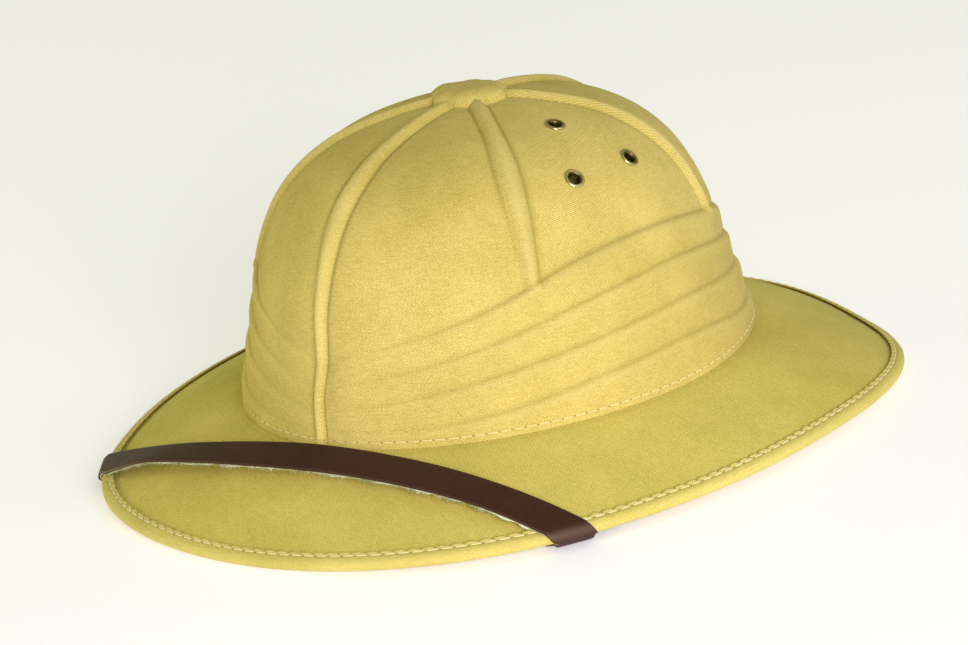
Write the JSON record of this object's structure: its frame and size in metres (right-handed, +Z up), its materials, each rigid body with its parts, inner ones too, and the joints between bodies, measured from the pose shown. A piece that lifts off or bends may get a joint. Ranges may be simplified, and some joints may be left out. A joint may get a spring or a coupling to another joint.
{
  "type": "pith helmet",
  "caption": "Safari pith helmet with a ribbed, moulded crown, a sloping bound brim, brass vent eyelets and a leather chin strap turned up over the front.",
  "frame": {"origin": "under the middle of the hat, on the surface that its brim rests on", "axes": "+Z up, the front towards -Y, the wearer's left towards +X"},
  "size_m": [0.2642, 0.309, 0.121],
  "materials": {
    "crown_cloth": "khaki twill, matt",
    "brim_cloth": "khaki twill, matt",
    "binding_cloth": "khaki tape, matt",
    "leather": "dark brown, smooth, semi-gloss",
    "brass": "aged brass, polished"
  },
  "bodies": {
    "root": {"crown": "crown_cloth", "brim": "brim_cloth", "brim_binding": "binding_cloth", "chin_strap": "leather", "eyelet_left_1": "brass", "eyelet_left_2": "brass", "eyelet_left_3": "brass", "eyelet_right_1": "brass", "eyelet_right_2": "brass", "eyelet_right_3": "brass"}
  },
  "joints": []
}
